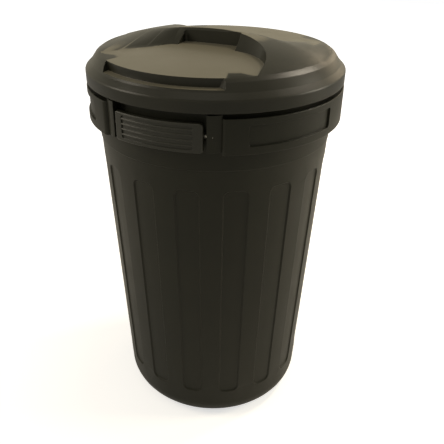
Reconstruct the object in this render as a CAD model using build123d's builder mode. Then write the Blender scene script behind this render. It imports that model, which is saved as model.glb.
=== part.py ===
from build123d import *
import os
from math import asin, atan, cos, degrees, hypot, radians, sin, sqrt, tan

# Round outdoor dustbin of about 80 litres, with a lift-off lid and two tilting carry handles.
# The bin stands on Z = 0 with its axis on Z. One handle faces -Y and the other +Y, and the two
# hollow bands under the rim lie on the +X and -X sides. All but the steel pins is polypropylene.

# Tub wall
foot_radius = 189.5        # outer radius of the tapered wall, carried down to the floor
step_height = 597.0        # where the fluted wall ends and the plain collar starts
step_radius = 217.2        # outer radius of the tapered wall at that height
collar_stand = 1.2         # the collar is this much prouder than the wall under it
wall = 4.6
base_thickness = 4.0
base_round = 46.0          # radius of the tub's bottom edge
base_recess = 3.0          # the middle of the base is lifted off the ground by this
base_ring = 18.0           # width of the ring that the bin stands on

# Rim that the lid sits on
rim_top = 717.7
rim_depth = 9.0
rim_reach = 11.6           # the rim stands out from the collar by this
rim_round = 3.0

# Flutes
flute_count = 16
flute_angle = 12.8         # degrees of the wall that one flute takes
flute_bottom = 78.0
flute_top = 560.0
flute_depth = 2.4
flute_corner = 13.0
flute_draft = 48.0

# Bands under the rim
band_reach = 18.1          # the bands stand out from the collar by this
band_drop = 26.2           # from the rim's top down to the bands
band_height = 59.5
band_wall = 3.0
band_web_drop = 6.5        # from a band's top down to the web that joins it to the collar
band_end_round = 8.0
band_edge_round = 1.2
band_rib_count = 5
panel_end_margin = 10.5    # degrees from the band's end to a sunk panel
panel_mid_margin = 11.4    # and from the panel to the band's middle
panel_low_margin = 13.5    # from the band's lower edge up to the panel
panel_high_margin = 11.0   # and from its top down
panel_depth = 3.5
panel_corner = 4.5

# Lugs that carry the hinge pins
lug_gap = 5.0              # between the handle's end and the lug
lug_set_back = 1.0         # the lug's face lies this far behind the band's
lug_heel_set_back = 6.0    # and this far where it meets the band's end
lug_length = 21.66         # from the lug's bored face to the band's end
lug_face_length = 8.14     # from there the lug's outer face slants back to the band
lug_low_margin = 4.0       # the lug starts this far over the band's lower edge
lug_rise = 5.5             # and ends this far over its top

# Handle
handle_stand = 1.5         # the handle's face is this much prouder than the bands
handle_depth = 7.0
handle_skin = 3.0
handle_low_margin = 4.0    # the handle starts this far over the bands' lower edge
handle_high_margin = 7.0   # and ends this far under their top
handle_half_length = 78.5
handle_corner = 6.0
handle_end_round = 5.0
handle_edge_cut = 1.2      # small bevel along the face's long edges
grip_half_length = 64.0    # ribbed field sunk in the face
grip_low_margin = 5.5
grip_high_margin = 4.0
grip_sink = 2.0
grip_corner = 4.0
grip_rib_count = 4
grip_rib_pitch = 8.7
grip_rib_radius = 1.9

# Hinge
hinge_inset = 24.5         # from the handle's face in to the hinge line
hinge_lift = 26.0          # from the handle's lower edge up to the hinge line
pin_diameter = 6.0
pin_seat = 9.0             # depth of the pin in its lug
pin_chamfer = 0.5
pin_running_fit = 0.08     # radial clearance in the handle
ear_thickness = 6.0
ear_radius = 6.2
stop_offset = 45.4         # from the handle's middle to a stop
stop_width = 4.0
stop_lift = 2.0            # the stop starts this far above the handle's lower edge
stop_height = 10.0
rest_clearance = 0.3

# Lid, from its lower edge up and from its outer face in
lid_skin = 3.0
lid_set_back = 0.5         # the lid's edge lies this far inside the bands' face
lid_overlap = 17.7         # it reaches this far down over the rim
lid_roll_rise = 20.0       # corner where the upright edge turns in
ledge_inset = 10.0
ledge_rise = 29.5
shoulder_inset = 19.5
shoulder_rise = 43.0
crease_inset = 28.5
crease_rise = 49.0
crown_rise = 31.0          # from the crease up to the crown
lid_round = 5.0            # rounding of the corners of the lid's section
seat_ring_inset = 8.0      # rib under the lid that rests on the rim
centring_gap = 4.1         # between the mouth and the rib that hangs inside it
centring_reach = 11.7      # that rib hangs this far into the mouth
rib_wall = 2.5

# Sunk floors and the ridge between them
floor_rise = 7.0           # the sunk floors are one shallow cap, this high over the crease
floor_sink = 1.5           # the floors run out this far under the crease
slope_run = 38.0           # the ridge's sloping side is this wide
rim_turn = 8.0             # here the side's upper edge starts to turn round the end of the floor
foot_turn = 43.0           # and here its foot does
foot_end_radius = 93.0     # round end at the floor
rim_end_radius = 133.0     # round end at the crown
end_splay = 8.0            # degrees that the end's side leans out
ridge_rise = 1.0           # the slopes aim this far over the crown, which leaves the ridge a narrow top
bar_left = -70.0           # from here the slope fans out into a flank
flank_turn = 44.7          # angle between the ridge and the foot of the flank
flank_steps = 5
slope_overrun = 40.0       # the slope's plane runs on past the ridge, above the crown
ridge_sink = 2.5           # at its outer end the flank starts this far under the crown

# Pockets that leave a fin to lift the lid by
pocket_left = -58.0
pocket_right = 54.0
fin_half = 6.0
pocket_corner = 4.5

# Notch in the lid's skirt over each handle
notch_right_angle = 25.7   # its right end starts here, at the foot of its back wall
notch_left = -118.0        # its left end is cut straight forward here
notch_drop = 10.0          # from the shoulder down to its floor
notch_inset = 7.0          # from the shoulder in to its back wall
notch_splay = 31.0         # its right end opens out by this
notch_draft = 21.3         # both ends lean back by this
notch_overrun = 8.0        # its cutter ends this far above the crease

seam_angle = 75.0          # the turned faces' seam lies on the plain crown, clear of every edge
cutter_margin = 1.0        # a cutter that passes a face runs on by this

# Values that follow from the sizes above
wall_slope = (step_radius - foot_radius) / step_height
wall_tilt = atan(wall_slope)
collar_radius = step_radius + collar_stand
mouth_radius = step_radius - wall
rim_radius = collar_radius + rim_reach
root_radius = collar_radius - wall / 2   # what is moulded on the collar is let in to here

band_radius = collar_radius + band_reach
band_top = rim_top - band_drop
band_bottom = band_top - band_height
band_web_top = band_top - band_web_drop
panel_bottom = band_bottom + panel_low_margin
panel_top = band_top - panel_high_margin

lug_inner_x = handle_half_length + lug_gap
lug_radius = band_radius - lug_set_back
lug_shoulder_angle = degrees(asin((lug_inner_x + lug_face_length) / lug_radius))
lug_heel_radius = band_radius - lug_heel_set_back
lug_bottom = band_bottom + lug_low_margin
lug_top = band_top + lug_rise

handle_radius = band_radius + handle_stand
handle_inner = handle_radius - handle_depth
handle_bottom = band_bottom + handle_low_margin
handle_top = band_top - handle_high_margin
grip_radius = handle_radius - grip_sink
grip_bottom = handle_bottom + grip_low_margin
grip_top = handle_top - grip_high_margin
hinge_y = handle_radius - hinge_inset    # distance of the hinge line from the axis of the bin
hinge_z = handle_bottom + hinge_lift

lid_radius = band_radius - lid_set_back
lid_bottom = rim_top - lid_overlap
lid_roll_height = lid_bottom + lid_roll_rise
ledge_radius = lid_radius - ledge_inset
ledge_height = lid_bottom + ledge_rise
shoulder_radius = lid_radius - shoulder_inset
shoulder_height = lid_bottom + shoulder_rise
crease_radius = lid_radius - crease_inset
crease_height = lid_bottom + crease_rise
crown_height = crease_height + crown_rise
floor_height = crease_height + floor_rise
seat_ring_radius = rim_radius - seat_ring_inset
seat_height = rim_top + rest_clearance
centring_radius = mouth_radius - centring_gap
centring_bottom = rim_top - centring_reach
notch_height = shoulder_height - notch_drop
notch_radius = shoulder_radius - notch_inset

beyond = 2 * band_radius                 # farther out than any part of the bin
above = 2 * crown_height                 # higher than any part of the bin


def wall_radius(height):
    """Outer radius of the tapered wall at a height."""
    return foot_radius + wall_slope * height


def cap_height(radius, apex):
    """Height of a round cap with its apex on the axis and its edge on the crease."""
    rise = apex - crease_height
    sphere = (crease_radius ** 2 + rise ** 2) / (2 * rise)
    return apex - sphere + sqrt(sphere ** 2 - radius ** 2)


def turned(angle, radius):
    """Point of the plan at an angle from the front, -Y, towards +X."""
    return (radius * sin(radians(angle)), -radius * cos(radians(angle)))


def wedge_angle(width, radius):
    """Degrees that a width takes at a radius."""
    return degrees(width / radius)


def ring_sector(inner, outer, bottom, top, middle, half):
    """Sector of a square-edged ring, centred at an angle from the front."""
    with BuildPart() as sector:
        with BuildSketch(Plane.XZ):
            with Locations(((inner + outer) / 2, (bottom + top) / 2)):
                Rectangle(outer - inner, top - bottom)
        revolve(axis=Axis.Z, revolution_arc=2 * half)
    return sector.part.rotate(Axis.Z, middle - half - 90)


# Tub: the turned wall, base and rim
round_centre = wall_radius(base_round) - base_round
floor_top = base_recess + base_thickness
with BuildPart() as tub_wall:
    with BuildSketch(Plane.XZ):
        with BuildLine():
            Polyline((0, floor_top), (0, base_recess), (round_centre - base_ring, base_recess),
                     (round_centre - base_ring + base_recess, 0), (round_centre, 0))
            ThreePointArc((round_centre, 0),
                          (round_centre + base_round * sin(radians(45)), base_round * (1 - cos(radians(45)))),
                          (wall_radius(base_round), base_round))
            Polyline((wall_radius(base_round), base_round), (step_radius, step_height),
                     (collar_radius, step_height + collar_stand), (collar_radius, rim_top - rim_depth),
                     (rim_radius, rim_top - rim_depth), (rim_radius, rim_top), (mouth_radius, rim_top),
                     (mouth_radius, step_height), (wall_radius(base_round) - wall, base_round))
            ThreePointArc((wall_radius(base_round) - wall, base_round),
                          (round_centre + (base_round - wall) * sin(radians(45)),
                           base_round - (base_round - floor_top) * cos(radians(45))),
                          (round_centre, floor_top))
            Line((round_centre, floor_top), (0, floor_top))
        make_face()
    revolve(axis=Axis.Z)
    rim_edges = tub_wall.edges().filter_by(GeomType.CIRCLE).group_by(SortBy.RADIUS)[-1]
    fillet(rim_edges, radius=rim_round)

# Core that a flute is cut down to, one flute depth inside the wall
with BuildPart() as flute_core:
    with BuildSketch(Plane.XZ):
        with BuildLine():
            Polyline((0, 0), (foot_radius - flute_depth, 0), (step_radius - flute_depth, step_height),
                     (0, step_height), close=True)
        make_face()
    revolve(axis=Axis.Z)

# One flute: a round-cornered prism with drafted sides, square to the wall
flute_middle = (flute_bottom + flute_top) / 2
flute_sagitta = wall_radius(flute_top) * (1 - cos(radians(flute_angle / 2)))
flute_start = flute_depth + flute_sagitta + cutter_margin
flute_slack = flute_start * tan(radians(flute_draft))
flute_plane = Plane(origin=(0, flute_start - wall_radius(flute_middle), flute_middle), x_dir=(1, 0, 0),
                    z_dir=(0, -cos(wall_tilt), -sin(wall_tilt)))
flute_top_half = wall_radius(flute_top) * sin(radians(flute_angle / 2)) - flute_slack
flute_bottom_half = wall_radius(flute_bottom) * sin(radians(flute_angle / 2)) - flute_slack
flute_end = (flute_top - flute_bottom) / 2 / cos(wall_tilt) - flute_slack
with BuildPart() as flute:
    with BuildSketch(flute_plane) as flute_outline:
        with BuildLine():
            Polyline((-flute_bottom_half, -flute_end), (flute_bottom_half, -flute_end),
                     (flute_top_half, flute_end), (-flute_top_half, flute_end), close=True)
        make_face()
        fillet(flute_outline.vertices(), radius=flute_corner - flute_slack)
    extrude(amount=flute_start + wall, taper=-flute_draft)
    add(flute_core.part, mode=Mode.SUBTRACT)

# One band's skirt, on +X: it is hollow and hangs from a web round the collar
band_middle = 90
band_gap_angle = degrees(asin((lug_inner_x + lug_length) / band_radius))
band_half = band_middle - band_gap_angle
panel_half = (band_half - panel_end_margin - panel_mid_margin) / 2
panel_centre = band_gap_angle + panel_end_margin + panel_half
half_rib = wedge_angle(band_wall / 2, band_radius)
panel_floor = band_radius - panel_depth


def band_block(bottom, top, inset):
    """The band's outer form, with its walls moved in by an inset."""
    outer = band_radius - inset
    with BuildPart() as block:
        add(ring_sector(root_radius, outer, bottom, top, band_middle, band_half - wedge_angle(inset, outer)))
        fillet(block.edges().filter_by(Axis.Z).sort_by(Axis.X)[-2:], radius=band_end_round - inset)
    return block.part


def panel_cutter(middle):
    """Round-cornered sunk panel in the band's face."""
    with BuildPart() as panel:
        add(ring_sector(panel_floor, band_radius + panel_depth, panel_bottom, panel_top, middle, panel_half))
        radial_edges = panel.edges().filter_by(GeomType.LINE).filter_by(Axis.Z, reverse=True)
        fillet(radial_edges, radius=panel_corner)
    return panel.part


with BuildPart() as skirt:
    add(band_block(band_bottom, band_top, 0))
    face_edges = skirt.edges().filter_by(GeomType.CIRCLE).group_by(SortBy.RADIUS)[-1]
    fillet(face_edges, radius=band_edge_round)
    add(band_block(band_bottom - band_wall, band_web_top - band_wall, band_wall), mode=Mode.SUBTRACT)
    add(band_block(band_web_top, band_top + band_wall, band_wall), mode=Mode.SUBTRACT)
    for count in range(1, band_rib_count + 1):
        rib_angle = band_gap_angle + count * 2 * band_half / (band_rib_count + 1)
        add(ring_sector(root_radius, band_radius - band_wall / 2, panel_bottom, band_web_top - band_wall / 2,
                        rib_angle, half_rib))
    for middle in (panel_centre, 180 - panel_centre):
        add(ring_sector(panel_floor - band_wall, band_radius - band_wall / 2, panel_bottom - band_wall,
                        band_web_top - band_wall / 2, middle, panel_half + 2 * half_rib))
        add(panel_cutter(middle), mode=Mode.SUBTRACT)

# One lug, bored for a hinge pin
lug_end_angle = band_gap_angle + half_rib
with BuildPart() as lug:
    with BuildSketch(Plane.XY.offset(lug_bottom)):
        with BuildLine():
            Polyline((lug_inner_x, -sqrt(root_radius ** 2 - lug_inner_x ** 2)),
                     (lug_inner_x, -sqrt(lug_radius ** 2 - lug_inner_x ** 2)),
                     turned(lug_shoulder_angle, lug_radius), turned(lug_end_angle, lug_heel_radius),
                     turned(lug_end_angle, root_radius), close=True)
        make_face()
    extrude(amount=lug_top - lug_bottom)
    with BuildSketch(Plane.YZ.offset(lug_inner_x)):
        with Locations((-hinge_y, hinge_z)):
            Circle(pin_diameter / 2)
    extrude(amount=pin_seat, mode=Mode.SUBTRACT)

# One stop, which keeps the hanging handle upright
stop_angle = degrees(asin(stop_offset / collar_radius))
stop_bottom = handle_bottom + stop_lift
stop = ring_sector(root_radius, handle_inner - rest_clearance, stop_bottom, stop_bottom + stop_height,
                   stop_angle, wedge_angle(stop_width / 2, collar_radius))

with BuildPart() as tub:
    add(tub_wall.part)
    with PolarLocations(0, flute_count, start_angle=180 / flute_count):
        add(flute.part, mode=Mode.SUBTRACT)
    for moulded in (stop, stop.mirror(Plane.YZ)):
        for turn in (0, 180):
            add(moulded.rotate(Axis.Z, turn))

# Band: the skirt and its two lugs, as far in as the collar
with BuildPart() as band:
    add(skirt.part)
    add(lug.part)
    add(lug.part.mirror(Plane.XZ))
    Cylinder(collar_radius, above, align=(Align.CENTER, Align.CENTER, Align.MIN), mode=Mode.SUBTRACT)

# What is hollowed out of the handle's back
hollow_half_length = handle_half_length - ear_thickness
with BuildPart() as handle_hollow:
    with BuildSketch(Plane.XY.offset(handle_bottom + handle_skin)):
        Circle(grip_radius - handle_skin)
        with Locations((0, -handle_radius)):
            Rectangle(2 * hollow_half_length, handle_radius, mode=Mode.INTERSECT)
    extrude(amount=handle_top - handle_bottom - 2 * handle_skin)

# The sunk field of the grip
with BuildPart() as grip_field:
    with BuildSketch(Plane.XZ):
        with Locations((0, (grip_bottom + grip_top) / 2)):
            RectangleRounded(2 * grip_half_length, grip_top - grip_bottom, grip_corner)
    extrude(amount=beyond)
    Cylinder(grip_radius, above, align=(Align.CENTER, Align.CENTER, Align.MIN), mode=Mode.SUBTRACT)

# Half-round ribs along the grip
rib_half_angle = degrees(asin((grip_half_length + grip_rib_radius / 2) / handle_radius))
with BuildPart() as grip_ribs:
    with BuildSketch(Plane.XZ):
        with Locations((grip_radius, (grip_bottom + grip_top) / 2)):
            with GridLocations(0, grip_rib_pitch, 1, grip_rib_count):
                Circle(grip_rib_radius)
    revolve(axis=Axis.Z, revolution_arc=2 * rib_half_angle)

# One ear of the handle, bored for its pin
ear_reach = sqrt(handle_inner ** 2 - handle_half_length ** 2) + handle_skin / 2
with BuildPart() as ear:
    with BuildSketch(Plane.YZ.offset(hollow_half_length)):
        with Locations((-hinge_y, hinge_z)):
            Circle(ear_radius)
        with Locations((-(hinge_y + ear_reach) / 2, hinge_z)):
            Rectangle(ear_reach - hinge_y, 2 * ear_radius)
        with Locations((-hinge_y, hinge_z)):
            Circle(pin_diameter / 2 + pin_running_fit, mode=Mode.SUBTRACT)
    extrude(amount=ear_thickness)

# What is taken off the long edges of the handle's face
edge_reach = handle_radius + cutter_margin
cut_reach = handle_edge_cut + cutter_margin
with BuildPart() as handle_edges:
    with BuildSketch(Plane.XZ):
        for edge_height, side in ((handle_bottom, -1), (handle_top, 1)):
            with BuildLine():
                Polyline((edge_reach, edge_height - side * cut_reach),
                         (edge_reach, edge_height + side * cutter_margin),
                         (handle_radius - cut_reach, edge_height + side * cutter_margin), close=True)
            make_face()
    revolve(axis=Axis.Z)

# Handle: a curved plate with flanges behind it
handle_middle = (handle_bottom + handle_top) / 2
with BuildPart() as handle:
    with BuildSketch(Plane.XY.offset(handle_bottom)) as handle_plan:
        Circle(handle_radius)
        Circle(handle_inner, mode=Mode.SUBTRACT)
        with Locations((0, -handle_radius)):
            Rectangle(2 * handle_half_length, handle_radius, mode=Mode.INTERSECT)
        fillet(handle_plan.vertices().group_by(Axis.Y)[0], radius=handle_end_round)
    extrude(amount=handle_top - handle_bottom)
    with BuildSketch(Plane.XZ):
        with Locations((0, handle_middle)):
            RectangleRounded(2 * handle_half_length, handle_top - handle_bottom, handle_corner)
    extrude(amount=beyond, mode=Mode.INTERSECT)
    add(handle_edges.part, mode=Mode.SUBTRACT)
    add(handle_hollow.part, mode=Mode.SUBTRACT)
    add(grip_field.part, mode=Mode.SUBTRACT)
    add(grip_ribs.part.rotate(Axis.Z, -90 - rib_half_angle))
    add(ear.part)
    add(ear.part.mirror(Plane.YZ))

# Hinge pins, driven into the lugs and free in the handle's ears
pin_start = hollow_half_length + rest_clearance
pin_end = lug_inner_x + pin_seat


def hinge_pin(side, front):
    """Pin on the -X or +X side (-1, 1) of the front or rear handle (-1, 1)."""
    with BuildPart() as pin:
        with BuildSketch(Plane.YZ.offset(side * (pin_start + pin_end) / 2)):
            with Locations((front * hinge_y, hinge_z)):
                Circle(pin_diameter / 2)
        extrude(amount=(pin_end - pin_start) / 2, both=True)
        chamfer(pin.edges().filter_by(GeomType.CIRCLE), length=pin_chamfer)
    return pin.part


seam_x, seam_y = turned(seam_angle, 1)
lid_plane = Plane(origin=(0, 0, 0), x_dir=(seam_x, seam_y, 0), z_dir=(seam_y, -seam_x, 0))


def lid_section(inset):
    """Half of the lid's outer outline, moved in by an inset, and open below where it is moved."""
    with BuildSketch() as section:
        with BuildLine():
            Polyline((0, lid_bottom), (lid_radius, lid_bottom), (lid_radius, lid_roll_height),
                     (ledge_radius, ledge_height), (shoulder_radius, shoulder_height),
                     (crease_radius, crease_height))
            ThreePointArc((crease_radius, crease_height),
                          (crease_radius / 2, cap_height(crease_radius / 2, crown_height)),
                          (0, crown_height))
            mirror(about=Plane.YZ)
        make_face()
        upper = section.vertices().filter_by(lambda corner: corner.Y > lid_bottom + lid_round)
        fillet(upper.filter_by(lambda corner: abs(corner.X) > lid_round), radius=lid_round)
        if inset:
            offset(amount=-inset, kind=Kind.INTERSECTION)
            with Locations((0, lid_bottom)):
                Rectangle(2 * (lid_radius - inset), 2 * (inset + cutter_margin))
        with Locations((beyond / 2, above / 2)):
            Rectangle(beyond, above, mode=Mode.INTERSECT)
    return section.sketch


def under_floor(growth):
    """Everything under the sunk floors, which a growth moves down."""
    drop = growth + floor_sink
    with BuildPart() as solid:
        with BuildSketch(lid_plane):
            with BuildLine():
                Polyline((0, floor_height - drop), (0, 0), (beyond, 0),
                         (beyond, cap_height(beyond, floor_height) - drop))
                ThreePointArc((beyond, cap_height(beyond, floor_height) - drop),
                              (beyond / 2, cap_height(beyond / 2, floor_height) - drop),
                              (0, floor_height - drop))
            make_face()
        revolve(axis=Axis.Z)
    return solid.part


def slope_foot(x):
    """Plan Y of the foot of the ridge's sloping side, which fans out into the flank."""
    return -slope_run + (min(x, bar_left) - bar_left) * tan(radians(flank_turn))


def slope_line(x, share):
    """Foot height, height over the axis and slope of the side at X, a share of the way along the flank."""
    foot_y = slope_foot(x)
    foot_z = cap_height(hypot(x, foot_y), floor_height) - floor_sink
    ridge_z = cap_height(abs(x), crown_height) + ridge_rise - share * (ridge_rise + ridge_sink)
    return foot_z, ridge_z, (foot_z - ridge_z) / foot_y


def flank(growth):
    """What is cut away over the sloping side, left of the middle."""
    stations = [(0, 0), (bar_left / 2, 0)]
    stations += [(bar_left + growth - step * (lid_radius + bar_left) / flank_steps, step / flank_steps)
                 for step in range(flank_steps + 1)]
    with BuildPart() as cutter:
        for x, share in stations:
            foot_z, ridge_z, slope = slope_line(x, share)
            drop = growth * sqrt(1 + slope ** 2)
            outer_z = foot_z - crown_rise
            with BuildSketch(Plane.YZ.offset(x)):
                with BuildLine():
                    Polyline((-beyond, outer_z), (slope_foot(x), foot_z - drop),
                             (slope_overrun, ridge_z + slope * slope_overrun - drop), (slope_overrun, above),
                             (-beyond, above), close=True)
                make_face()
        loft(ruled=True)
    return cutter.part


def round_end(growth):
    """What is cut away right of the middle, where the side turns and steepens round the end of the floor."""
    foot_z, ridge_z, slope = slope_line(0, 0)
    sideways = growth * sqrt(1 + slope ** 2) / slope
    with BuildPart() as cutter:
        for height in (shoulder_height - growth, crown_height + wall):
            share = (height - foot_z) / (ridge_z - foot_z)
            edge_y = (share - 1) * slope_run + sideways
            turn_x = foot_turn + share * (rim_turn - foot_turn)
            radius = foot_end_radius + share * (rim_end_radius - foot_end_radius) + growth
            halfway = (90 + end_splay) / 2
            side_x = turn_x + radius * cos(radians(end_splay))
            side_y = edge_y - radius + radius * sin(radians(end_splay))
            with BuildSketch(Plane.XY.offset(height)):
                with BuildLine():
                    Line((0, edge_y), (turn_x, edge_y))
                    ThreePointArc((turn_x, edge_y),
                                  (turn_x + radius * cos(radians(halfway)),
                                   edge_y - radius + radius * sin(radians(halfway))),
                                  (side_x, side_y))
                    Polyline((side_x, side_y),
                             (side_x + lid_radius * tan(radians(end_splay)), side_y - lid_radius),
                             (0, side_y - lid_radius), (0, edge_y))
                make_face()
        loft(ruled=True)
    return cutter.part


def sunk_parts(growth):
    """Both sunk floors with their slopes and finger pockets, their walls moved out by a growth."""
    pocket_back = growth - fin_half
    with BuildPart() as sides:
        add(round_end(growth))
        add(flank(growth))
        with BuildSketch(Plane.XY.offset(crease_height - growth)):
            with Locations(((pocket_left + pocket_right) / 2, pocket_back - slope_run / 2)):
                RectangleRounded(pocket_right - pocket_left + 2 * growth, slope_run, pocket_corner)
        extrude(amount=crown_height + wall - crease_height)
    with BuildPart() as hollows:
        add(sides.part)
        add(sides.part.rotate(Axis.Z, 180))
        add(under_floor(growth), mode=Mode.SUBTRACT)
    return hollows.part


def notch(growth):
    """Notch in the skirt over the front handle, its walls moved in by a growth."""
    end_turn = notch_right_angle + notch_splay
    shift = growth / cos(radians(notch_draft)) - growth * tan(radians(notch_draft))
    foot_x, foot_y = turned(notch_right_angle, notch_radius)
    foot_x += shift * cos(radians(end_turn))
    foot_y += shift * sin(radians(end_turn))
    out_x, out_y = turned(end_turn, lid_radius)
    in_x, in_y = turned(end_turn, notch_radius / 2)
    with BuildPart() as cutter:
        with BuildSketch(Plane.XY.offset(notch_height - growth)):
            with BuildLine():
                Polyline((foot_x - in_x, foot_y - in_y), (foot_x + out_x, foot_y + out_y),
                         (notch_left - shift, foot_y + out_y), (notch_left - shift, 0), close=True)
            make_face()
        extrude(amount=crease_height + notch_overrun - notch_height, taper=-notch_draft)
        Cylinder(notch_radius - growth, above, align=(Align.CENTER, Align.CENTER, Align.MIN),
                 mode=Mode.SUBTRACT)
    return cutter.part


# Ribs under the lid: one rests on the rim and one hangs inside the mouth
with BuildSketch() as lid_ribs:
    for radius, bottom in ((seat_ring_radius, seat_height), (centring_radius, centring_bottom)):
        with Locations((radius, bottom)):
            Rectangle(rib_wall, crown_height - bottom, align=(Align.MIN, Align.MIN))
    add(lid_section(lid_skin / 2), mode=Mode.INTERSECT)

# Solid to the middle of the lid's skin, which the skin round each sunk part is taken from
with BuildPart() as lid_core:
    with BuildSketch(lid_plane):
        add(lid_section(lid_skin / 2))
    revolve(axis=Axis.Z)


def skin_round(hollow):
    """Where a hollow that is grown by the lid's skin lies inside the lid."""
    with BuildPart() as block:
        add(lid_core.part)
        add(hollow, mode=Mode.INTERSECT)
    return block.part


# Lid: a turned shell, the skin round its sunk parts, and then the sunk parts themselves
with BuildPart() as lid:
    with BuildSketch(lid_plane):
        add(lid_section(0))
        add(lid_section(lid_skin), mode=Mode.SUBTRACT)
        add(lid_ribs.sketch)
    revolve(axis=Axis.Z)
    add(skin_round(sunk_parts(lid_skin)))
    for turn in (0, 180):
        add(skin_round(notch(lid_skin).rotate(Axis.Z, turn)))
    for turn in (0, 180):
        add(notch(0).rotate(Axis.Z, turn), mode=Mode.SUBTRACT)
    for sunk_solid in sunk_parts(0).solids():
        add(sunk_solid, mode=Mode.SUBTRACT)

pieces = {"tub": tub.part, "right_band": band.part, "left_band": band.part.rotate(Axis.Z, 180),
          "lid": lid.part, "front_handle": handle.part, "rear_handle": handle.part.rotate(Axis.Z, 180)}
for end, front in (("front", -1), ("rear", 1)):
    for hand, side in (("left", -1), ("right", 1)):
        pieces[f"{end}_handle_pin_{hand}"] = hinge_pin(side, front)

os.makedirs("parts", exist_ok=True)
for name, piece in pieces.items():
    piece.label = name
    export_step(piece, f"parts/{name}.step")
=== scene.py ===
# %% [markdown]
# A round outdoor dustbin, moulded in black polypropylene
#
# The real object is a tapered, fluted tub with a lift-off lid. Two carry handles tilt on steel
# pins under the rim, and a hollow band runs round each side between them. The solids come from
# the CAD model and are loaded here as a fixed frame, in metres, standing on Z = 0. What Blender
# adds is what a mould gives the plastic: soft edges, a fine grain, and the way it takes light.

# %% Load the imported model
from math import cos, radians, sin

import bmesh
import bpy
from mathutils import Matrix, Vector


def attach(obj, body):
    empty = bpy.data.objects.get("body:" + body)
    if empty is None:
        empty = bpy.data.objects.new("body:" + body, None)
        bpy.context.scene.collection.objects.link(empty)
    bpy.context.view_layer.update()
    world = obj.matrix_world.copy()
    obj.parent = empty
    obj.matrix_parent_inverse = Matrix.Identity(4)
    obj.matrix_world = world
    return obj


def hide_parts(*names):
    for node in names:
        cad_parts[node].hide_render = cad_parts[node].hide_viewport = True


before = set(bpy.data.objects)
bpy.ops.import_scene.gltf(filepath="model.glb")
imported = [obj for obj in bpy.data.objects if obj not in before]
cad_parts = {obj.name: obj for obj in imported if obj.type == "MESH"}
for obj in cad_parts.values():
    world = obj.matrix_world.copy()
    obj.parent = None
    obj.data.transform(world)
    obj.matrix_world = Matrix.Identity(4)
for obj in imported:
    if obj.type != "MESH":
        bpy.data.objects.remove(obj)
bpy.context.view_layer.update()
print("nodes:", sorted(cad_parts))

# %% [markdown]
# Two helpers for everything that follows
#
# Colours are picked as sRGB hex values, because that is what a colour picker shows, but shaders
# work in linear light. One function turns the one into the other. The second adds a node to a
# material, fills its sockets and links what comes into it, so that a material reads as a list.

# %% Helpers for colours and nodes
MM = 0.001


def colour(code):
    """Linear RGBA of an sRGB hex code."""
    channels = [int(code[i:i + 2], 16) / 255 for i in (0, 2, 4)]
    return [c / 12.92 if c <= 0.04045 else ((c + 0.055) / 1.055) ** 2.4 for c in channels] + [1.0]


def add_node(tree, kind, sockets=(), **settings):
    """Adds a node. Each socket is given a value, or the output that is linked into it."""
    made = tree.nodes.new(kind)
    for name, value in settings.items():
        setattr(made, name, value)
    for name, value in dict(sockets).items():
        if isinstance(value, bpy.types.NodeSocket):
            tree.links.new(value, made.inputs[name])
        else:
            made.inputs[name].default_value = value
    return made


def new_tree(name):
    """A material with nodes and nothing in it yet, and its tree."""
    material = bpy.data.materials.new(name)
    material.use_nodes = True
    material.node_tree.nodes.clear()
    return material, material.node_tree


print("white is", colour("ffffff"))

# %% [markdown]
# Camera
#
# The photograph looks down at the bin at about 29 degrees, from a little to the right of its
# front handle. The camera's place was worked out from the rims, whose ellipses give the pitch
# and the distance. The picture was cropped off centre, and a small lens shift stands for that.

# %% Camera
VIEW_AZIMUTH = radians(24.3)
VIEW_PITCH = radians(29.51)
VIEW_ROLL = radians(0.30)
VIEW_DISTANCE = 1057.1 * MM
VIEW_HEIGHT = 979.4 * MM
VIEW_SIDE = -7.7 * MM
LENS = 46.02
CROP_SHIFT = (0.0261, -0.0003)

to_right = Vector((cos(VIEW_AZIMUTH), sin(VIEW_AZIMUTH), 0))
to_back = Vector((-sin(VIEW_AZIMUTH), cos(VIEW_AZIMUTH), 0))
up = Vector((0, 0, 1))
looking = to_back * cos(VIEW_PITCH) - up * sin(VIEW_PITCH)
upright = to_back * sin(VIEW_PITCH) + up * cos(VIEW_PITCH)
turned_right = to_right * cos(VIEW_ROLL) + upright * sin(VIEW_ROLL)
turned_up = upright * cos(VIEW_ROLL) - to_right * sin(VIEW_ROLL)

camera = bpy.data.objects.new("camera", bpy.data.cameras.new("camera"))
bpy.context.scene.collection.objects.link(camera)
camera.data.lens = LENS
camera.data.shift_x, camera.data.shift_y = CROP_SHIFT
place = Matrix((turned_right, turned_up, -looking)).transposed().to_4x4()
place.translation = to_right * VIEW_SIDE - to_back * VIEW_DISTANCE + up * VIEW_HEIGHT
camera.matrix_world = place
bpy.context.scene.camera = camera
print("camera at", [round(c, 4) for c in camera.location])

# %% [markdown]
# Floor and background
#
# The bin was photographed on white paper. The floor is a plain pale sheet that keeps the
# shadow. For the camera alone it glows, more so further out, so that it burns out to white as
# paper does in such a picture, and a reflection sees a little of that glow.

# %% Floor
FLOOR_SIDE = 12.0
PAPER = "ece8dc"
NEAR_GLOW = 0.62           # at the foot of the bin, where the shadow lies
FAR_GLOW = 1.0             # past the reach of the shadow
GLOW_START = 0.3           # metres from the axis of the bin
GLOW_END = 1.6
MIRRORED_GLOW = 0.12       # what a reflection sees of it


def ray_kinds(tree):
    """Two factors, which are 1 for what the camera sees and for what is mirrored or seen through glass."""
    path = add_node(tree, "ShaderNodeLightPath")
    mirrored = add_node(tree, "ShaderNodeMath", {0: path.outputs["Is Glossy Ray"],
                                                 1: path.outputs["Is Transmission Ray"]},
                        operation="MAXIMUM")
    return path.outputs["Is Camera Ray"], mirrored.outputs[0]


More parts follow.
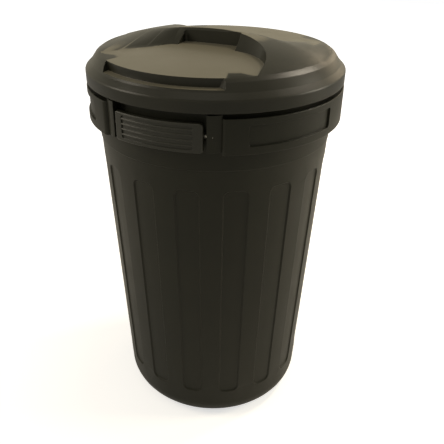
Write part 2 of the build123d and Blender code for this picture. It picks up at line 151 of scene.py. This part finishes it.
paper, tree = new_tree("white_paper")
by_camera, mirrored = ray_kinds(tree)
spot = add_node(tree, "ShaderNodeTexCoord").outputs["Object"]
reach = add_node(tree, "ShaderNodeVectorMath", {0: spot}, operation="LENGTH").outputs["Value"]
burnt_out = add_node(tree, "ShaderNodeMapRange", {
    "Value": reach, "From Min": GLOW_START, "From Max": GLOW_END, "To Min": NEAR_GLOW, "To Max": FAR_GLOW})
dim = add_node(tree, "ShaderNodeMath", {0: mirrored, 1: MIRRORED_GLOW}, operation="MULTIPLY")
glow = add_node(tree, "ShaderNodeMix", {"Factor": by_camera, "A": dim.outputs[0],
                                        "B": burnt_out.outputs["Result"]})
matt = add_node(tree, "ShaderNodeBsdfDiffuse", {"Color": colour(PAPER)})
shine = add_node(tree, "ShaderNodeEmission", {"Color": colour("ffffff"), "Strength": glow.outputs["Result"]})
both = add_node(tree, "ShaderNodeAddShader", {0: matt.outputs[0], 1: shine.outputs[0]})
add_node(tree, "ShaderNodeOutputMaterial", {"Surface": both.outputs[0]})

sheet = bmesh.new()
bmesh.ops.create_grid(sheet, x_segments=1, y_segments=1, size=FLOOR_SIDE / 2)
floor_mesh = bpy.data.meshes.new("floor")
sheet.to_mesh(floor_mesh)
sheet.free()
floor = bpy.data.objects.new("floor", floor_mesh)
bpy.context.scene.collection.objects.link(floor)
floor.data.materials.append(paper)
print("floor", FLOOR_SIDE, "m wide")

# %% [markdown]
# The room around the bin
#
# The world is white to the camera. A reflection sees a pale, slightly warm room that is darker
# overhead, which keeps the black plastic black on what faces up. The light that the world
# itself throws on the bin is dimmer still, so that the soft boxes shape it.

# %% World
WORLD_LIGHT = 0.24
WALLS_SEEN = 0.71          # how bright the room is in a reflection, low down
CEILING_SEEN = 0.42        # and overhead
WALL_TOP = sin(radians(17))
CEILING_START = sin(radians(34))
WARM_ROOM = "fff6dc"

world = bpy.data.worlds.new("studio")
bpy.context.scene.world = world
world.use_nodes = True
tree = world.node_tree
tree.nodes.clear()
by_camera, mirrored = ray_kinds(tree)
direction = add_node(tree, "ShaderNodeTexCoord").outputs["Generated"]
rise = add_node(tree, "ShaderNodeSeparateXYZ", {"Vector": direction}).outputs["Z"]
room = add_node(tree, "ShaderNodeMapRange", {"Value": rise, "From Min": WALL_TOP, "From Max": CEILING_START,
                                             "To Min": WALLS_SEEN, "To Max": CEILING_SEEN},
                interpolation_type="SMOOTHSTEP")
level = add_node(tree, "ShaderNodeMix", {"Factor": mirrored, "A": WORLD_LIGHT, "B": room.outputs["Result"]})
level = add_node(tree, "ShaderNodeMix", {"Factor": by_camera, "A": level.outputs["Result"], "B": 1.0})
tint = add_node(tree, "ShaderNodeMixRGB", {"Fac": mirrored, "Color1": colour("ffffff"),
                                           "Color2": colour(WARM_ROOM)})
backdrop = add_node(tree, "ShaderNodeBackground", {"Color": tint.outputs[0],
                                                   "Strength": level.outputs["Result"]})
add_node(tree, "ShaderNodeOutputWorld", {"Surface": backdrop.outputs[0]})
bpy.context.scene.view_settings.view_transform = "Standard"
print("world is ready")

# %% [markdown]
# Soft boxes
#
# Black plastic shows its shape by what it mirrors, so the lamps are large and stand to the
# sides. A tall low box on the right and a large one on the left draw the long streaks on the
# walls. A small high one on the right models the ridge and the flanks of the lid. Two weak ones,
# behind and overhead, fill in the rest. Each is placed by its turn from the camera's line.

# %% Soft boxes
AIM = Vector((0, 0, 0.6))  # every box faces this point, a little under the handles

# Name, turn to the camera's right and elevation in degrees, distance and size in metres, watts, tint
SOFT_BOXES = (
    ("box_right_high", 114, 48, 1.9, (0.35, 0.35), 15, "fff2de"),
    ("box_right_low", 88, 15, 2.0, (0.6, 1.2), 20, "fff6e2"),
    ("box_left", -80, 25, 2.0, (0.9, 1.2), 16, "fff4e2"),
    ("box_back_right", 140, 20, 2.4, (1.2, 0.8), 6, "ffe6c1"),
    ("box_top", -20, 70, 2.4, (1.6, 1.6), 5, "fff6e8"),
)

for name, turn, elevation, distance, size, power, lamp_tint in SOFT_BOXES:
    ahead = -to_back * cos(radians(turn)) + to_right * sin(radians(turn))
    away = ahead * cos(radians(elevation)) + up * sin(radians(elevation))
    lamp = bpy.data.lights.new(name, "AREA")
    lamp.shape = "RECTANGLE"
    lamp.size, lamp.size_y = size
    lamp.energy = power
    lamp.color = colour(lamp_tint)[:3]
    box = bpy.data.objects.new(name, lamp)
    bpy.context.scene.collection.objects.link(box)
    box.location = AIM + away * distance
    box.rotation_mode = "QUATERNION"
    box.rotation_quaternion = (-away).to_track_quat("-Z", "Y")

# %% [markdown]
# Moulded polypropylene
#
# Dustbins of this kind are injection moulded in polypropylene coloured with carbon black. The
# mould is spark eroded, which leaves a fine grain, so that the plastic is neither glossy nor
# matt: a lamp shows in it as a long soft streak. It is never quite black, because dust and
# rubbing leave it slightly brown. On the lid, faces that lie almost level, the sunk floors most,
# are painted a lighter grey-brown that is partly dust and partly a painted sheen, standing for
# the light that such faces mirror, so the way that a face points decides how much of it shows.
# A mirror-smooth black would show the lamps' edges and a plain matt one would lose the streaks,
# so roughness lies between them.

# %% Moulded polypropylene
BLACK = "1c1d16"           # plastic as moulded, which the clouds mix with the duller black
WORN_BLACK = "27271e"      # where handling and dust have dulled it
LID_BLACK = "2d2c23"       # the lid faces the weather and is duller
DUST_AND_SHEEN = "6b6655"            # grey-brown on what lies level: partly dust, partly a painted sheen
GRAIN = 1.6 * MM           # real grain is near 0.3 mm, which no pixel of the picture would show
CLOUD = 90 * MM            # size of the slow changes from moulding and dust
CLOUD_LOW = 0.3            # nearly all of the noise lies between these two
CLOUD_HIGH = 0.7
GLOSS_SWING = 0.04         # the clouds move the roughness by this, up and down
EDGE_ROUND = 1.3 * MM      # rounding that a mould's corners leave
PP_IOR = 1.49
DUST_AND_SHEEN_PATCHES = 0.02        # how far the clouds move the edge of the dust and painted sheen
# The grey-brown of dust and painted sheen starts on faces within about 9.5 degrees of straight up and is
# full within about 4
DUST_AND_SHEEN_FROM = cos(radians(9.5)) + DUST_AND_SHEEN_PATCHES / 2
DUST_AND_SHEEN_TO = cos(radians(4.0)) + DUST_AND_SHEEN_PATCHES / 3


def moulded(name, dull, dust_and_sheen, roughness, specular, grain_height):
    """Black polypropylene whose dullness and grain depend on where it is moulded, with dust and a painted
    sheen on faces that point up.
    """
    material, tree = new_tree(name)
    coordinates = add_node(tree, "ShaderNodeTexCoord").outputs["Object"]
    cloud = add_node(tree, "ShaderNodeTexNoise", {"Vector": coordinates, "Scale": 1 / CLOUD, "Detail": 4.0,
                                                  "Roughness": 0.55}).outputs["Fac"]
    grain = add_node(tree, "ShaderNodeTexNoise", {"Vector": coordinates, "Scale": 1 / GRAIN, "Detail": 2.0})
    shade = add_node(tree, "ShaderNodeMixRGB", {"Fac": cloud, "Color1": colour(BLACK),
                                                "Color2": colour(dull)})
    # Faces that point up are painted a lighter grey-brown: partly dust, partly a painted sheen for the light
    # they mirror
    facing = add_node(tree, "ShaderNodeNewGeometry").outputs["Normal"]
    upward = add_node(tree, "ShaderNodeSeparateXYZ", {"Vector": facing}).outputs["Z"]
    patchy = add_node(tree, "ShaderNodeMath", {0: cloud, 1: DUST_AND_SHEEN_PATCHES, 2: upward},
                      operation="MULTIPLY_ADD")
    dust_and_sheen_film = add_node(tree, "ShaderNodeMapRange", {"Value": patchy.outputs[0], "From Min": DUST_AND_SHEEN_FROM,
                                                 "From Max": DUST_AND_SHEEN_TO, "To Max": dust_and_sheen},
                    interpolation_type="SMOOTHSTEP")
    shade = add_node(tree, "ShaderNodeMixRGB", {"Fac": dust_and_sheen_film.outputs["Result"], "Color1": shade.outputs[0],
                                                "Color2": colour(DUST_AND_SHEEN)})
    gloss = add_node(tree, "ShaderNodeMapRange", {
        "Value": cloud, "From Min": CLOUD_LOW, "From Max": CLOUD_HIGH,
        "To Min": roughness - GLOSS_SWING, "To Max": roughness + GLOSS_SWING})
    soft_edge = add_node(tree, "ShaderNodeBevel", {"Radius": EDGE_ROUND}, samples=6)
    bump = add_node(tree, "ShaderNodeBump", {"Height": grain.outputs["Fac"], "Strength": 1.0,
                                             "Distance": grain_height, "Normal": soft_edge.outputs[0]})
    shader = add_node(tree, "ShaderNodeBsdfPrincipled", {
        "Base Color": shade.outputs[0], "Roughness": gloss.outputs["Result"], "IOR": PP_IOR,
        "Specular IOR Level": specular, "Normal": bump.outputs[0]})
    add_node(tree, "ShaderNodeOutputMaterial", {"Surface": shader.outputs[0]})
    return material


# Rubbing polishes the handles most, and the tub keeps the dull face of the mould
tub_plastic = moulded("black_polypropylene_tub", WORN_BLACK, dust_and_sheen=0.0, roughness=0.42, specular=0.2,
                      grain_height=0.05 * MM)
# Only the lid takes the dust and painted sheen on its level faces
lid_plastic = moulded("black_polypropylene_lid", LID_BLACK, dust_and_sheen=1.0, roughness=0.36, specular=0.28,
                      grain_height=0.04 * MM)
handle_plastic = moulded("black_polypropylene_handle", WORN_BLACK, dust_and_sheen=0.0, roughness=0.38, specular=0.4,
                         grain_height=0.05 * MM)
print("plastics:", tub_plastic.name, lid_plastic.name, handle_plastic.name)

# %% [markdown]
# Steel pins
#
# Each handle turns on two short pins of bright drawn wire. Drawing leaves fine lines along the
# wire, which a noise stretched along the pin's own axis gives. It reads Object coordinates, so
# that the lines stay on the pins.

# %% Drawn steel
BRIGHT_STEEL = "b9b7b2"
LINES_PER_METRE = (60, 2500, 2500)     # lines are about 17 mm long and 0.4 mm apart
SMOOTH_LINE = 0.22                     # roughness on a line's crest
ROUGH_LINE = 0.42                      # and between two of them
LINE_DEPTH = 0.01 * MM

steel, tree = new_tree("drawn_steel")
coordinates = add_node(tree, "ShaderNodeTexCoord").outputs["Object"]
along = add_node(tree, "ShaderNodeMapping", {"Vector": coordinates, "Scale": LINES_PER_METRE})
lines = add_node(tree, "ShaderNodeTexNoise", {"Vector": along.outputs[0], "Scale": 1.0, "Detail": 3.0})
polish = add_node(tree, "ShaderNodeMapRange", {"Value": lines.outputs["Fac"], "To Min": SMOOTH_LINE,
                                               "To Max": ROUGH_LINE})
scratch = add_node(tree, "ShaderNodeBump", {"Height": lines.outputs["Fac"], "Distance": LINE_DEPTH})
shader = add_node(tree, "ShaderNodeBsdfPrincipled", {
    "Base Color": colour(BRIGHT_STEEL), "Metallic": 1.0, "Roughness": polish.outputs["Result"],
    "Normal": scratch.outputs[0]})
add_node(tree, "ShaderNodeOutputMaterial", {"Surface": shader.outputs[0]})
pins = {name: node for name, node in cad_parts.items() if "pin" in name}
for node in pins.values():
    node.data.materials.clear()
    node.data.materials.append(steel)
print("pins:", sorted(pins))

# %% [markdown]
# Smooth skins for the moulded pieces
#
# The CAD solids arrive as loose triangles, which would show as facets in a soft reflection. A
# copy of each has its doubled points merged, so that neighbours share them, and is then shaded
# smooth, apart from edges sharper than a given angle. Its place and shape stay those of the CAD.

# %% Smooth skins
SHARP_ANGLE = radians(32)
SAME_POINT = 0.002 * MM
SKINS = (
    ("tub", "tub_body", tub_plastic),
    ("left_band", "tub_body", tub_plastic),
    ("right_band", "tub_body", tub_plastic),
    ("lid", "lid_body", lid_plastic),
    ("front_handle", "front_handle_body", handle_plastic),
    ("rear_handle", "rear_handle_body", handle_plastic),
)


def skin(node_name, body, material):
    """A smooth copy of a CAD node that stands for it."""
    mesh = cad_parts[node_name].data.copy()
    mesh.name = node_name + "_skin"
    work = bmesh.new()
    work.from_mesh(mesh)
    bmesh.ops.remove_doubles(work, verts=work.verts, dist=SAME_POINT)
    for face in work.faces:
        face.smooth = True
    for edge in work.edges:
        edge.smooth = len(edge.link_faces) == 2 and edge.calc_face_angle(0) < SHARP_ANGLE
    work.to_mesh(mesh)
    work.free()
    mesh.materials.clear()
    mesh.materials.append(material)
    made = bpy.data.objects.new(mesh.name, mesh)
    bpy.context.scene.collection.objects.link(made)
    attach(made, body)
    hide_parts(node_name)
    print(made.name, len(mesh.polygons), "faces")


for node_name, body, material in SKINS:
    skin(node_name, body, material)
